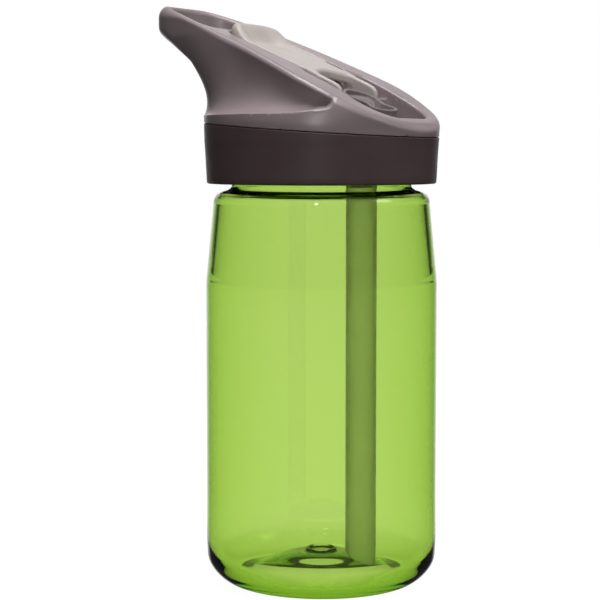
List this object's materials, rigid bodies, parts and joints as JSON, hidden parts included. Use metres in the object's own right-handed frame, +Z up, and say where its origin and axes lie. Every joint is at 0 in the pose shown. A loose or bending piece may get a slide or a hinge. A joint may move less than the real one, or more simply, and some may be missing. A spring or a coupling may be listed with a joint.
{
  "type": "kids water bottle",
  "caption": "Clear plastic kids' bottle with a screw cap, a slanted lid with a carrying loop, a flip lever, a fold-away soft mouthpiece and an inner straw.",
  "frame": {"origin": "on the standing plane, under the centre of the object's bounding box; the bottle's own axis is 9.8 mm towards +X", "axes": "+Z up along the bottle, -X towards the carrying loop, +X towards the drinking side, Y across; mirror plane y = 0"},
  "size_m": [0.0936, 0.074, 0.1851],
  "materials": {
    "tritan": "clear green tinted copolyester, polished",
    "collar_plastic": "fine satin moulded texture",
    "lid_plastic": "satin moulded",
    "lever_plastic": "satin moulded",
    "silicone": "soft matte silicone",
    "inner_plastic": "moulded",
    "straw_plastic": "translucent",
    "pin_steel": "ground"
  },
  "bodies": {
    "bottle": {"bottle_body": "tritan"},
    "gasket": {"neck_gasket": "silicone"},
    "cap": {"screw_collar": "collar_plastic", "cap_liner": "inner_plastic", "lid_shell": "lid_plastic", "hinge_pin_left": "pin_steel", "hinge_pin_right": "pin_steel", "seat_seal": "silicone", "straw_connector": "inner_plastic", "drinking_straw": "straw_plastic", "vent_valve": "silicone"},
    "lever": {"flip_lever": "lever_plastic"},
    "spout": {"spout_hub": "inner_plastic", "mouthpiece": "silicone"}
  },
  "joints": [
    {"name": "cap_lift", "type": "slide", "parent": "bottle", "child": "gasket", "axis": [0, 0, 1], "range_m": [0, 0.00525]},
    {"name": "cap_unscrew", "type": "hinge", "parent": "gasket", "child": "cap", "pos_m": [0.0098, 0, 0.137], "axis": [0, 0, 1], "range_deg": [0, 450]},
    {"name": "lever_flip", "type": "hinge", "parent": "cap", "child": "lever", "pos_m": [0.0198, 0, 0.1485], "axis": [0, 1, 0], "range_deg": [0, 40]},
    {"name": "spout_raise", "type": "hinge", "parent": "cap", "child": "spout", "pos_m": [0.0198, 0, 0.1485], "axis": [0, -1, 0], "range_deg": [0, 75]}
  ],
  "couplings": [
    {"joint": "cap_lift", "follows": "cap_unscrew", "m_per_rad": 0.00066845}
  ]
}
